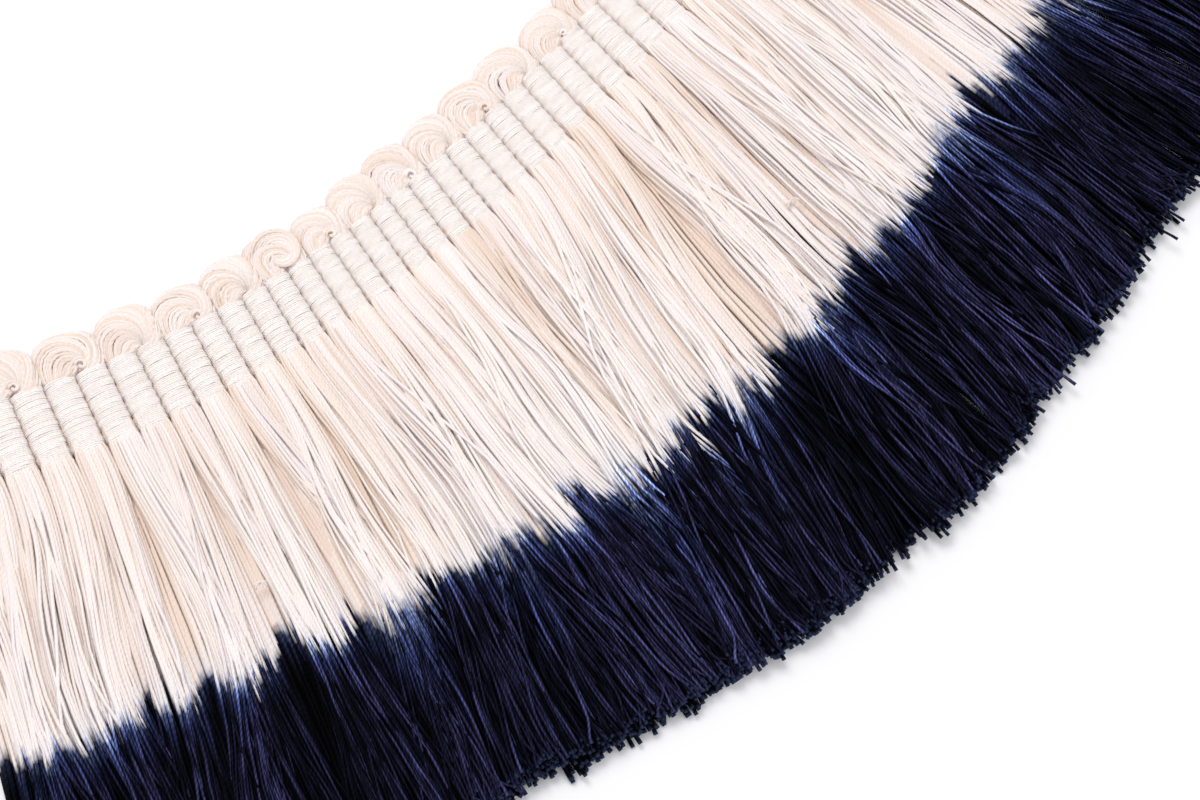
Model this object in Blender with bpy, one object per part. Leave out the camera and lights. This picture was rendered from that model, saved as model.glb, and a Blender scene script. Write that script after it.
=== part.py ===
"""Tassel fringe trim, laid on a table in a shallow bend, its loops to +Y and its skirt to -Y.

Each hank of cotton thread is folded over into a loop that stands over two legs side by side.
Fine thread binds the upper part of each leg, and below the binding the leg falls apart into
loose locks, cut square and dipped in navy dye. Metres, +Z up. The origin lies on the table,
at the middle of the flat back of the binding just right of the header's middle.
"""

import math
import random

import bmesh
import bpy
import numpy as np
from mathutils import Vector

MM = 0.001

# Legs, numbered so that gaps between legs fall on whole numbers
HANKS = 20
LEGS = 2 * HANKS
FIRST_LEG = -17.5
ORIGIN_LEG = 2.5

# Lanes: places on the header line, one pitch wide each. The legs crowd at one place of the bend
# and ease apart away from it, in a wave so many legs long.
PITCH = 4.3 * MM
LANE_SHIFT = 0.32
CROWDING = 0.7
CROWDED_LEG = -1.75
CROWDING_WAVE = 32.0

# Header: the line on which the bindings start, its heading in degrees
MIDDLE_HEADING = 6.7
BEND_PER_LANE = 1.21
BEND_EASING = -0.0222
WALK_STEPS = 64
NEIGHBOUR_REACH = 0.05

# Fan of the legs, in degrees from straight down the table, growing with the lane
NECK_FAN = 0.75
SKIRT_FAN = 0.88
SKIRT_SWING = -2.2
SWAY = 1.1
SWAY_LANES = 9.0
SWAY_SHIFT = 0.8

# The last legs have no neighbour to hold them and splay outwards, by so many degrees
SPLAY = 15.0
SPLAY_FROM_LEG = 17.5
SPLAY_LEGS = 4.0

# Section of a leg: an eight-sided ring, as tall everywhere and as wide as its lane lets it be
SIDES = 8
FLATS = math.cos(math.pi / SIDES)
LEG_HEIGHT = 3.9 * MM
LEG_GAP = 0.4 * MM
AXIS_HEIGHT = LEG_HEIGHT / 2
BINDING_WALL = 0.3 * MM
BINDING_LENGTH = 12.0 * MM
CLEARANCE = 0.3 * MM
NECK_INSET = BINDING_WALL + CLEARANCE

# Loop: a straight rise from each leg and a half circle over both
LOOP_RISE = 3.2 * MM
LOOP_SHOULDER = 0.9 * MM
LOOP_STEPS = 6

# Skirt, measured down each leg from the header
ROOT_END = BINDING_LENGTH + 1.8 * MM
ROOT_START = BINDING_LENGTH + CLEARANCE
SPREAD_AT = 23.0 * MM
DYE_AT = 53.5 * MM
DYE_RISE = 4.0 * MM
TIP_AT = 86.5 * MM
TIP_RISE = 5.0 * MM
RISE_LANES = 10.0
TURN_LENGTH = 20.0 * MM
RAGGED = 1.1 * MM
LOCK_GAP = 0.3 * MM

# Rings of a leg from its root up to the loop, as (distance down, inset from the full section)
NECK_RINGS = (
    (ROOT_END, 0.0),
    (ROOT_START, NECK_INSET),
    (-CLEARANCE, NECK_INSET),
    (-LOOP_SHOULDER, 0.0),
)

# Rows of locks in a leg: how many, sides of each, and their lowest and highest point at the
# root (from the leg's axis) and in the open skirt (from the table)
LOCK_ROWS = (
    {"locks": 3, "sides": 4, "root_low": -1.0, "root_high": -0.15, "low": 0.0, "high": 1.35},
    {"locks": 4, "sides": 3, "root_low": 0.12, "root_high": 1.0, "low": 1.65, "high": 3.2},
)
ROOT_SPAN = 0.79
ROOT_GAP = 0.2 * MM
TOP_NARROWING = 0.75

SHARP_EDGE = 50.0

CREAM = (0.87, 0.81, 0.73, 1.0)
BINDING_CREAM = (0.89, 0.84, 0.77, 1.0)
NAVY = (0.012, 0.016, 0.075, 1.0)
THREAD_ROUGHNESS = 0.75

SEED = 11


def clear_scene():
    for obj in list(bpy.data.objects):
        bpy.data.objects.remove(obj, do_unlink=True)


def make_material(name, colour):
    material = bpy.data.materials.new(name)
    material.use_nodes = True
    shader = material.node_tree.nodes["Principled BSDF"]
    shader.inputs["Base Color"].default_value = colour
    shader.inputs["Roughness"].default_value = THREAD_ROUGHNESS
    shader.inputs["Metallic"].default_value = 0.0
    return material


def lane_of(leg):
    """Place of a leg on the header line, in lanes."""
    turn = 2 * math.pi * (leg - CROWDED_LEG) / CROWDING_WAVE
    return leg + LANE_SHIFT - CROWDING * math.sin(turn)


def header_heading(lane):
    """Heading of the header line, in radians."""
    return np.radians(MIDDLE_HEADING + BEND_PER_LANE * lane + BEND_EASING * lane * lane)


def down_the_table(degrees):
    """Unit direction on the table, turned from straight down towards +X by so many degrees."""
    angle = math.radians(degrees)
    return Vector((math.sin(angle), -math.cos(angle), 0.0))


def neck_direction(leg):
    return down_the_table(NECK_FAN * lane_of(leg))


def across_neck(leg):
    """Unit direction from a leg's neck towards the next leg's."""
    neck = neck_direction(leg)
    return Vector((-neck.y, neck.x, 0.0))


def walk_along_header(leg):
    """The way along the header line from lane zero to a leg."""
    lane = lane_of(leg)
    headings = header_heading((np.arange(WALK_STEPS) + 0.5) / WALK_STEPS * lane)
    reach = PITCH * lane
    return Vector((reach * np.cos(headings).mean(), reach * np.sin(headings).mean(), 0.0))


def header_point(leg):
    """Point of the header line on the table at a leg."""
    to_origin = walk_along_header(ORIGIN_LEG) + neck_direction(ORIGIN_LEG) * (BINDING_LENGTH / 2)
    return walk_along_header(leg) - to_origin


def neck_width(leg):
    """Full width of a leg's section, which leaves the gap to its neighbours."""
    step = header_point(leg + 0.5) - header_point(leg - 0.5)
    return step.dot(across_neck(leg)) - LEG_GAP


def skirt_direction(leg):
    lane = lane_of(leg)
    sway = SWAY * math.sin(2 * math.pi * lane / SWAY_LANES + SWAY_SHIFT)
    splay = SPLAY * max(0.0, (leg - SPLAY_FROM_LEG) / SPLAY_LEGS) ** 2
    return down_the_table(SKIRT_SWING + SKIRT_FAN * lane + sway + splay)


def leg_point(leg, down):
    """Point on the table under a leg's middle line, so far down from the header."""
    neck = neck_direction(leg)
    start = header_point(leg)
    if down <= ROOT_END:
        return start + neck * down
    skirt = skirt_direction(leg)
    below = down - ROOT_END
    turned = min(below, TURN_LENGTH)
    # The heading turns evenly from the neck's to the skirt's over the turn length.
    share = turned / TURN_LENGTH
    bend = neck * (turned * (1 - share / 2)) + skirt * (turned * share / 2)
    return start + neck * ROOT_END + bend + skirt * (below - turned)


def longer(leg, middle, rise):
    """A distance down the skirt, shorter by the rise at the left end and longer by it at the right."""
    share = max(-1.0, min(1.0, lane_of(leg) / RISE_LANES))
    return middle + rise * math.sin(share * math.pi / 2)


def leg_side(leg, down):
    """Unit direction across the skirt at that place, towards the next leg, and the lane's width there."""
    step = leg_point(leg + NEIGHBOUR_REACH, down) - leg_point(leg - NEIGHBOUR_REACH, down)
    along = (leg_point(leg, down + MM) - leg_point(leg, down - MM)).normalized()
    side = Vector((-along.y, along.x, 0.0))
    return side, step.dot(side) / (2 * NEIGHBOUR_REACH)


def octagon(centre, outward, width, inset):
    """Eight-sided ring round a leg's axis, standing upright along outward, a flat side down."""
    wide = (width / 2 - inset) / FLATS
    tall = (LEG_HEIGHT / 2 - inset) / FLATS
    points = []
    for side in range(SIDES):
        angle = 2 * math.pi * (side + 0.5) / SIDES
        height = AXIS_HEIGHT + tall * math.sin(angle)
        points.append(Vector((centre.x, centre.y, height)) + outward * (wide * math.cos(angle)))
    return points


def add_ring(mesh, points):
    return [mesh.verts.new(point) for point in points]


def bridge(mesh, first, second, material=0):
    """Walls between two rings of the same count."""
    count = len(first)
    for here in range(count):
        after = (here + 1) % count
        face = mesh.faces.new((first[here], first[after], second[after], second[here]))
        face.material_index = material


def loop_rings(left, right):
    """Rings of a half circle from over the left leg to over the right one."""
    rise = (neck_direction(left) + neck_direction(right)).normalized() * -LOOP_RISE
    start = header_point(left) + rise
    end = header_point(right) + rise
    middle = (start + end) / 2
    half = end - middle
    up = Vector((-half.y, half.x, 0.0))
    width = neck_width((left + right) / 2)
    rings = []
    for step in range(LOOP_STEPS + 1):
        angle = math.pi * step / LOOP_STEPS
        outward = half * -math.cos(angle) + up * math.sin(angle)
        rings.append(octagon(middle + outward, outward.normalized(), width, 0.0))
    return rings


def lock_section(row, leg, number, down):
    """Corners of one lock's section, anticlockwise seen from its tip, so far down the leg."""
    share = 1.0 / row["locks"]
    offset = -0.5 + share * (number + 0.5)
    if down == ROOT_END:
        side = across_neck(leg)
        span = neck_width(leg) * ROOT_SPAN
        centre = leg_point(leg, down) + side * (span * offset)
        half = (span * share - ROOT_GAP) / 2
        low = AXIS_HEIGHT + row["root_low"] * MM
        high = AXIS_HEIGHT + row["root_high"] * MM
    else:
        side, lane = leg_side(leg + offset, down)
        centre = leg_point(leg + offset, down)
        half = (lane * share - LOCK_GAP) / 2
        low = row["low"] * MM
        high = row["high"] * MM
    left = centre - side * half
    right = centre + side * half
    corners = [left + Vector((0, 0, low)), right + Vector((0, 0, low))]
    if row["sides"] == 3:
        corners.append(centre + Vector((0, 0, high)))
    else:
        inward = side * (half * (1 - TOP_NARROWING))
        corners.append(right - inward + Vector((0, 0, high)))
        corners.append(left + inward + Vector((0, 0, high)))
    return corners


def add_locks(mesh, leg, ragged):
    """Locks of one leg, from their roots to their cut tips. Returns the roots' rings."""
    roots = []
    dye = longer(leg, DYE_AT, DYE_RISE)
    cut = longer(leg, TIP_AT, TIP_RISE)
    for row in LOCK_ROWS:
        for number in range(row["locks"]):
            tip = cut + ragged.uniform(-RAGGED, RAGGED)
            root = add_ring(mesh, lock_section(row, leg, number, ROOT_END))
            before = root
            for down, material in ((SPREAD_AT, 0), (dye, 0), (tip, 1)):
                ring = add_ring(mesh, lock_section(row, leg, number, down))
                bridge(mesh, before, ring, material)
                before = ring
            mesh.faces.new(before).material_index = 1
            roots.append(root)
    return roots


def close_root(mesh, ring, roots):
    """Flat end of a leg, filled round the roots of its locks."""
    edges = []
    for loop in [ring] + roots:
        for here, after in zip(loop, loop[1:] + loop[:1]):
            edges.append(mesh.edges.get((here, after)) or mesh.edges.new((here, after)))
    bmesh.ops.triangle_fill(mesh, use_beauty=True, edges=edges)


def finish_object(name, mesh, materials):
    bmesh.ops.recalc_face_normals(mesh, faces=mesh.faces)
    data = bpy.data.meshes.new(name)
    mesh.to_mesh(data)
    mesh.free()
    data.shade_smooth()
    data.set_sharp_from_angle(angle=math.radians(SHARP_EDGE))
    for material in materials:
        data.materials.append(material)
    obj = bpy.data.objects.new(name, data)
    bpy.context.scene.collection.objects.link(obj)
    return obj


def make_hank(number, materials, ragged):
    """One folded hank: the loop, its two legs inside their bindings, and their loose locks."""
    left = FIRST_LEG + 2 * number
    right = left + 1
    mesh = bmesh.new()
    rings = []
    for leg in (left, right):
        side = across_neck(leg)
        outward = -side if leg == left else side
        width = neck_width(leg)
        legs_rings = []
        for down, inset in NECK_RINGS:
            legs_rings.append(octagon(leg_point(leg, down), outward, width, inset))
        rings.append(legs_rings)
    route = rings[0] + loop_rings(left, right) + rings[1][::-1]
    made = [add_ring(mesh, points) for points in route]
    for first, second in zip(made, made[1:]):
        bridge(mesh, first, second)
    close_root(mesh, made[0], add_locks(mesh, left, ragged))
    close_root(mesh, made[-1], add_locks(mesh, right, ragged))
    return finish_object(f"hank_{number + 1:02d}", mesh, materials)


def make_binding(number, material):
    """The wound binding round one leg, as a short sleeve with a flat side on the table."""
    leg = FIRST_LEG + number
    side = across_neck(leg)
    width = neck_width(leg)
    mesh = bmesh.new()
    profile = (
        (0.0, 0.0),
        (BINDING_LENGTH, 0.0),
        (BINDING_LENGTH, BINDING_WALL),
        (0.0, BINDING_WALL),
    )
    made = []
    for down, inset in profile:
        made.append(add_ring(mesh, octagon(leg_point(leg, down), side, width, inset)))
    for first, second in zip(made, made[1:] + made[:1]):
        bridge(mesh, first, second)
    return finish_object(f"binding_{number + 1:02d}", mesh, [material])


def main():
    clear_scene()
    cream = make_material("cream_cotton", CREAM)
    navy = make_material("navy_dipped_cotton", NAVY)
    binding = make_material("binding_thread", BINDING_CREAM)
    ragged = random.Random(SEED)
    for number in range(HANKS):
        make_hank(number, (cream, navy), ragged)
    for number in range(LEGS):
        make_binding(number, binding)


main()
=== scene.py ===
"""Looks of the tassel fringe trim: every thread of its loops, skirts and bindings, on a pale table.

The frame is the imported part's own: metres, +Z up, the loops to +Y and the skirt to -Y.
Distances below are in millimetres and angles in degrees, and MM turns lengths into metres at the
end. The gaps between legs are numbered by whole numbers along the header and the legs by the
halves between them. Distances down a leg start at the top of its binding.
"""

import bpy
import numpy as np
from mathutils import Matrix, Vector

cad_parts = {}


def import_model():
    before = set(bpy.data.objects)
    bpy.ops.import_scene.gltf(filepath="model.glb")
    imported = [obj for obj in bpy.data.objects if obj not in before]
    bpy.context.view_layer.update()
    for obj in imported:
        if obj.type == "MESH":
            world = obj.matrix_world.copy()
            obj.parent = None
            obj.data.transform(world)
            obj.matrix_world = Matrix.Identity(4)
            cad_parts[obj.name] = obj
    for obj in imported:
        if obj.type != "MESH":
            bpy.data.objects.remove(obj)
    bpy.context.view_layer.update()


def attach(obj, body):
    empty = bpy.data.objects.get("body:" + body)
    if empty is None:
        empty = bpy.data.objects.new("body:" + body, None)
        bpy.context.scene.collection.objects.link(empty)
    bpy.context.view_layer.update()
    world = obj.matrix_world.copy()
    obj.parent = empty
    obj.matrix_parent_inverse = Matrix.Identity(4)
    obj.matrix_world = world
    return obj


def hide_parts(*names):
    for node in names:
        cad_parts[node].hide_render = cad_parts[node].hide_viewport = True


MM = 0.001
SEED = 23
HANK_SEED = SEED + 100
BINDING_SEED = SEED + 500

# Layout of the part
HANKS = 20
LEGS = 2 * HANKS
FIRST_LEG = -17.5
ORIGIN_LEG = 2.5
PITCH = 4.3
LANE_SHIFT = 0.32
CROWDING = 0.7
CROWDED_LEG = -1.75
CROWDING_WAVE = 32.0
MIDDLE_HEADING = 6.7
BEND_PER_LANE = 1.21
BEND_EASING = -0.0222
NECK_FAN = 0.75
SKIRT_FAN = 0.88
SKIRT_SWING = -2.2
SWAY = 1.1
SWAY_LANES = 9.0
SWAY_SHIFT = 0.8
SPLAY = 15.0
SPLAY_FROM_LEG = 17.5
SPLAY_LEGS = 4.0
LEG_GAP = 0.4
BINDING_LENGTH = 12.0
ROOT_END = 13.8
TURN_LENGTH = 20.0
DYE_AT = 53.5
DYE_RISE = 4.0
TIP_AT = 86.5
TIP_RISE = 5.0
RISE_LANES = 10.0
AXIS_HEIGHT = 1.95

# Threads of a leg, row by row from the top: how many, their sides and stations, and their depth
# in the leg (0 at its top, 1 on the table)
SKIRT_ROWS = (
    {"threads": 11, "sides": 4, "stations": 30, "depth": 0.0},
    {"threads": 12, "sides": 4, "stations": 28, "depth": 0.07},
    {"threads": 13, "sides": 4, "stations": 24, "depth": 0.15},
    {"threads": 13, "sides": 4, "stations": 18, "depth": 0.25},
    {"threads": 12, "sides": 4, "stations": 14, "depth": 0.42},
    {"threads": 10, "sides": 4, "stations": 10, "depth": 0.68},
    {"threads": 9, "sides": 4, "stations": 9, "depth": 1.0},
)

# Rows above this depth cling together in the upper clumps, and over the two depths below it the
# threads turn into the even bed that lies on the table.
UPPER_CLUMPS_DEPTH = 0.1
BEDDED_DEPTHS = (0.2, 0.5)

# Thickness of a thread in the skirt, in its neck and at the bottom of the skirt, and the heights
# of the skirt's highest and lowest threads
THREAD = 0.5
NECK_THREAD = 0.6
BEDDED_THREAD = 0.58
CROWN = 3.6
LOWEST = 0.27

# Locks of the skirt, as they lie in the photograph. The legs between two gaps of the header, root,
# lie between two places at the dye line, and ride over their neighbours (1) or under them (-1).
LOCKS = (
    {"root": (-18, -14), "place": (-18.0, -14.0), "ride": 0.0},
    {"root": (-14, -12), "place": (-13.9, -12.2), "ride": 0.2},
    {"root": (-12, -11), "place": (-12.2, -11.2), "ride": 0.5},
    {"root": (-11, -10), "place": (-10.4, -9.9), "ride": -0.3},
    {"root": (-10, -9), "place": (-9.9, -8.8), "ride": 0.6},
    {"root": (-9, -8), "place": (-8.6, -7.3), "ride": -0.8},
    {"root": (-8, -7), "place": (-7.3, -6.2), "ride": 0.7},
    {"root": (-7, -5), "place": (-6.2, -4.4), "ride": -0.2},
    {"root": (-5, -3), "place": (-4.3, -2.75), "ride": 0.3},
    {"root": (-3, -1), "place": (-2.1, 0.0), "ride": 0.4},
    {"root": (-1, 1), "place": (-0.1, 1.6), "ride": 1.0},
    {"root": (1, 3), "place": (1.5, 2.7), "ride": -0.7},
    {"root": (3, 5), "place": (2.7, 4.1), "ride": 0.1},
    {"root": (5, 7), "place": (4.4, 6.4), "ride": 0.0},
    {"root": (7, 8), "place": (6.5, 7.5), "ride": 0.3},
    {"root": (8, 11), "place": (7.8, 10.8), "ride": 0.0},
    {"root": (11, 13), "place": (11.6, 13.0), "ride": 0.5},
    {"root": (13, 14), "place": (13.1, 14.2), "ride": -0.8},
    {"root": (14, 17), "place": (14.2, 16.8), "ride": 0.4},
    {"root": (17, 22), "place": (17.3, 22.0), "ride": 0.1},
)
LOCKS_SEEN_AT = 47.0
DRIFT_STARTS = 8.0
DRIFT_FADES = 24.0

# Where two locks leave a gap between their places, their edges stay narrow, and elsewhere they
# lap over each other.
LEAST_LOCK_GAP = 0.05
OPEN_EDGE = 0.95
OVERLAPPING_EDGE = 1.14

# Shares of the clumps that hang loose or look dull, and of the threads that stray, end late, curl
# at their ends or take the dye late
LOOSE_CLUMPS = 0.2
DULL_CLUMPS = 0.15
STRAY_THREADS = 0.2
LONG_THREADS = 0.06
CURLED_THREADS = 0.16
LATE_THREADS = 0.01

# The neck's threads start this far above the binding's lower end and fill this share of it, so
# that the winding hides them until they come out.
NECK_OVERLAP = 3.2
NECK_FILL = 0.87
COMES_OUT_OVER = 1.0
CUT_BACK = 1.1

# Stretches down the skirt, over which its threads come to lie another way
THREADS_THIN = (12.5, 38.0)
THREADS_WAVE = (14.0, 28.0)
BED_WIDENS = (16.0, 30.0)
LOCKS_RIDE = (16.0, 34.0)
THREADS_SWELL = (18.0, 30.0)
STRAYS_RISE = (20.0, 32.0)
LOCKS_WIDEN = (20.0, 44.0)
CLUMPS_ROUND = (22.0, 46.0)
CLUMPS_GATHER = (22.0, 50.0)
LOCKS_FLATTEN = (25.0, 60.0)
BED_THICKENS = (30.0, 42.0)
CLUMPS_BOW = (40.0, 70.0)
CLUMPS_LIFT = (42.0, 60.0)
ENDS_WAVE = (42.0, 65.0)
ENDS_ROUGHEN = (44.0, 60.0)
ENDS_RIDE = (45.0, 62.0)
ENDS_THIN = (50.0, 60.0)
LOCKS_LOOSEN = (50.0, 78.0)
CROWN_SINKS = (55.0, 95.0)

# Distances over which a swing sets in, below the root and below the start of the dyed ends
SWING_STARTS = 9.0
ENDS_AT = 44.0
ENDS_SWING_STARTS = 12.0
LEG_BOW_LENGTH = 62.0

# Loops: the threads of their surface and of their filling, and the hole that they turn round
LOOP_THREADS = 54
LOOP_FILLING_THREADS = 20
LOOP_FILLING = 0.9
LOOP_FILLING_DEPTH = 0.83
LOOP_FILLING_STATIONS = 14
EYE_RADIUS = 0.02
LOOP_BURIED = 2.6
LOOP_ARC = np.pi * 2.6
LOOP_SQUARENESS = 2.5
SHOULDER_AT = 2.3
SHOULDER_WIDTH = 0.6
LARGE_COIL = 2.0

# How the loops lie that show in the photograph, by the gap between their two legs
HEADS = {
    -13.0: "swirl",
    -11.0: "fan",
    -9.0: "swirl",
    -7.0: "fan",
    -5.0: "coil",
    -3.0: "swirl",
    -1.0: "fan",
    1.0: "swirl",
    3.0: "fan",
    5.0: "swirl",
    7.0: "fan",
    9.0: "swirl",
}

# Ends of thread caught on the skirt, by the place along the trim and the distance down
FLECKS = (
    {"leg": -10.8, "down": 38.7},
    {"leg": 10.55, "down": 43.0},
)
FLECK_ENDS = 4
FLECK_RADIUS = 0.14

# Single threads that the dye reached late, by their leg number and how much later
LATE_DYE = ({"leg": 12.85, "later": 6.0},)

# Bindings: the fine thread's thickness, the rise of its turns and the lengths of their lumps
WINDING = 0.32
WINDING_STEP = 0.29
WINDING_CORNERS = 11
BOXING = 0.92
SHORT_LUMPS = 1.4
LONG_LUMPS = 2.7
LUMP_TWIST = 3.5
WINDING_TAPER = 0.22
WINDING_TAPER_LENGTH = 1.3

# Colours of the cotton, from the painted shade of threads that lie deep to the cream of threads
# that lie open
CREAM = (
    (0.0, (0.82, 0.675, 0.585)),
    (0.35, (0.885, 0.80, 0.765)),
    (0.6, (0.91, 0.835, 0.815)),
    (1.0, (0.94, 0.885, 0.875)),
)
# Painted shade on the undersides and lower flanks of the threads
CREAM_PAINTED_SHADE = (0.82, 0.66, 0.56)
HUES = ((0.0, (1.0, 0.97, 0.935)), (0.5, (1.0, 1.0, 1.0)), (1.0, (0.96, 0.955, 0.99)))
HAZE = (0.66, 0.69, 0.78)
CUT_END = (0.045, 0.065, 0.14)
# Cream of the bindings, from dark to light turns: random mottling and painted light on their lumps
BINDING_CREAM = ((0.0, (0.905, 0.835, 0.80)), (1.0, (0.96, 0.915, 0.895)))
# Painted shade on the flanks of the bindings, towards the grooves between them
BINDING_PAINTED_SHADE = (0.70, 0.52, 0.42)

# Colours of the dye, from the seep at its edge to the full navy, and how far the seep reaches
NAVY = (
    (0.0, (0.22, 0.28, 0.48)),
    (0.12, (0.085, 0.115, 0.25)),
    (0.3, (0.028, 0.036, 0.115)),
    (0.75, (0.022, 0.022, 0.064)),
)
NAVY_AT = 8.0
UNDYED = -50.0
FAR_FROM_TIP = 50.0

# Noise scales per metre, the length in which the plies make one turn, and how far they stand out
SEEP_NOISE = 700.0
LUMP_NOISE = 1400.0
MOTTLE_NOISE = 1500.0
FUZZ_NOISE = 9000.0
COTTON_LAY = 1.7
WINDING_LAY = 1.3
COTTON_RELIEF = 0.06 * MM
WINDING_RELIEF = 0.05 * MM

# Table and light, in metres. The key light stands to the right, away and up by the shares in
# KEY_FROM, as the camera sees them.
TABLE_HALF = 1.5
TABLE_COLOUR = (0.88, 0.868, 0.885, 1.0)
SKY_COLOUR = (0.97, 0.98, 1.0, 1.0)
SKY_STRENGTH = 0.87
KEY_FROM = (-0.45, 0.25, 0.9)
KEY_SIZE = 0.5
KEY_POWER = 4.2
KEY_COLOUR = (1.0, 0.985, 0.96)
KEY_DISTANCE = 0.9

# Camera: where the photograph was taken from, over the middle of the frame
AIM = (-1.16, -37.23)
DISTANCE = 376.0
VIEW_ELEVATION = 68.0
VIEW_TURN = 54.9
VIEW_ROLL = 20.0
LENS = 78.0
SENSOR_WIDTH = 36.0

UPWARDS = np.array([0.0, 0.0, 1.0])


def lane_of(leg):
    """Places of legs on the header line, in lanes one pitch wide, which crowd at one place."""
    turn = 2 * np.pi * (np.asarray(leg, float) - CROWDED_LEG) / CROWDING_WAVE
    return leg + LANE_SHIFT - CROWDING * np.sin(turn)


def header_grid():
    """Points of the header line at closely spaced lanes, with the part's origin at (0, 0)."""
    lanes = np.linspace(-LEGS, LEGS, 16 * LEGS + 1)
    middle = (lanes[1:] + lanes[:-1]) / 2
    heading = np.radians(MIDDLE_HEADING + BEND_PER_LANE * middle + BEND_EASING * middle**2)
    step = PITCH * (lanes[1] - lanes[0])
    x = np.concatenate([[0.0], np.cumsum(np.cos(heading) * step)])
    y = np.concatenate([[0.0], np.cumsum(np.sin(heading) * step)])
    lane = lane_of(ORIGIN_LEG)
    angle = np.radians(NECK_FAN * lane)
    back = BINDING_LENGTH / 2
    x -= np.interp(lane, lanes, x) + np.sin(angle) * back
    y -= np.interp(lane, lanes, y) - np.cos(angle) * back
    return lanes, x, y


HEADER_LANES, HEADER_X, HEADER_Y = header_grid()


def down_the_table(degrees):
    """Unit directions on the table, turned from straight down towards +X."""
    angle = np.radians(degrees)
    return np.stack([np.sin(angle), -np.cos(angle), np.zeros_like(angle)], axis=-1)


def header_point(leg):
    lane = lane_of(leg)
    x = np.interp(lane, HEADER_LANES, HEADER_X)
    y = np.interp(lane, HEADER_LANES, HEADER_Y)
    return np.stack([x, y, np.zeros_like(x)], axis=-1)


def neck_direction(leg):
    return down_the_table(NECK_FAN * lane_of(leg))


def skirt_direction(leg):
    lane = lane_of(leg)
    sway = SWAY * np.sin(2 * np.pi * lane / SWAY_LANES + SWAY_SHIFT)
    splay = SPLAY * np.maximum(0.0, (leg - SPLAY_FROM_LEG) / SPLAY_LEGS) ** 2
    return down_the_table(SKIRT_SWING + SKIRT_FAN * lane + sway + splay)


def across(direction):
    """Directions on the table a quarter turn from these ones, towards the next leg."""
    return np.stack([-direction[..., 1], direction[..., 0], direction[..., 2]], axis=-1)


def neck_width(leg):
    """Full width of a leg's neck in its lane."""
    step = header_point(leg + 0.5) - header_point(leg - 0.5)
    return np.sum(step * across(neck_direction(leg)), axis=-1) - LEG_GAP


def leg_point(leg, down):
    """Points on the table under a leg's middle line, and the leg's direction there."""
    leg, down = np.broadcast_arrays(np.asarray(leg, float), np.asarray(down, float))
    neck = neck_direction(leg)
    skirt = skirt_direction(leg)
    straight = np.minimum(down, ROOT_END)[..., None]
    below = np.maximum(down - ROOT_END, 0.0)[..., None]
    turned = np.minimum(below, TURN_LENGTH)
    share = turned / TURN_LENGTH
    bend = neck * (turned * (1 - share / 2)) + skirt * (turned * share / 2)
    point = header_point(leg) + neck * straight + bend + skirt * (below - turned)
    return point, neck * (1 - share) + skirt * share


def longer(leg, middle, rise):
    """A distance down the skirt, less by the rise at its left end and more by it at its right."""
    share = np.clip(lane_of(leg) / RISE_LANES, -1.0, 1.0)
    return middle + rise * np.sin(share * np.pi / 2)


def smooth(value, start, end):
    """0 before the start, 1 after the end and an even turn between them."""
    share = np.clip((value - start) / (end - start), 0.0, 1.0)
    return share * share * (3 - 2 * share)


def eased(distance, start):
    """A distance that grows slowly at first and then as fast as the distance does."""
    return distance * distance / (distance + start)


def boxed(wave):
    """A cosine or sine drawn out towards its ends, so that a circle made of both turns squarer."""
    return np.sign(wave) * np.abs(wave) ** BOXING


def wander(rng, where, wavelengths):
    """Smooth random waves from about -1 to 1, one row for each row of where."""
    total = 0.0
    for wavelength in wavelengths:
        length = wavelength * rng.uniform(0.8, 1.25, (len(where), 1))
        shift = rng.uniform(0, 2 * np.pi, (len(where), 1))
        total = total + np.sin(2 * np.pi * where / length + shift)
    return total / len(wavelengths)


class Clumps:
    """Groups of neighbouring threads of a leg that cling together, with gaps between them."""

    def __init__(self, rng, fewest, most):
        edges = []
        for leg in FIRST_LEG + np.arange(LEGS):
            parts = rng.integers(fewest, most + 1)
            inside = (np.arange(1, parts) + rng.uniform(-0.3, 0.3, parts - 1)) / parts
            edges += [leg - 0.5, *(leg - 0.5 + inside)]
        edges.append(FIRST_LEG + LEGS - 0.5)
        self.edges = np.array(edges)
        count = len(edges)
        loose = rng.random(count) < LOOSE_CLUMPS
        self.pull = np.where(loose, rng.uniform(0.2, 0.35, count), rng.uniform(0.0, 0.12, count))
        self.lift = rng.uniform(-1.0, 1.0, count)
        self.swing = rng.normal(0.0, 0.4, count)
        self.swing = self.swing + np.where(loose, rng.normal(0.0, 1.6, count), 0.0)
        self.tail = rng.normal(0.0, 1.0, count)
        self.tint = rng.uniform(-1.0, 1.0, count)
        self.tint = self.tint - np.where(rng.random(count) < DULL_CLUMPS, 2.5, 0.0)
        self.reach = rng.normal(0.0, 1.0, count)
        self.hue = rng.normal(0.0, 1.0, count)
        self.bow = rng.normal(0.0, 1.0, count)
        self.bow_at = rng.uniform(0.0, 2 * np.pi, count)
        self.bow_length = rng.uniform(28.0, 48.0, count)

    def of(self, root):
        """The number and middle of each of these threads' clump, and the thread's place in it."""
        number = np.clip(np.searchsorted(self.edges, root), 1, len(self.edges) - 1)
        low, high = self.edges[number - 1], self.edges[number]
        middle = (low + high) / 2
        return number, middle, (root - middle) / ((high - low) / 2)


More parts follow.
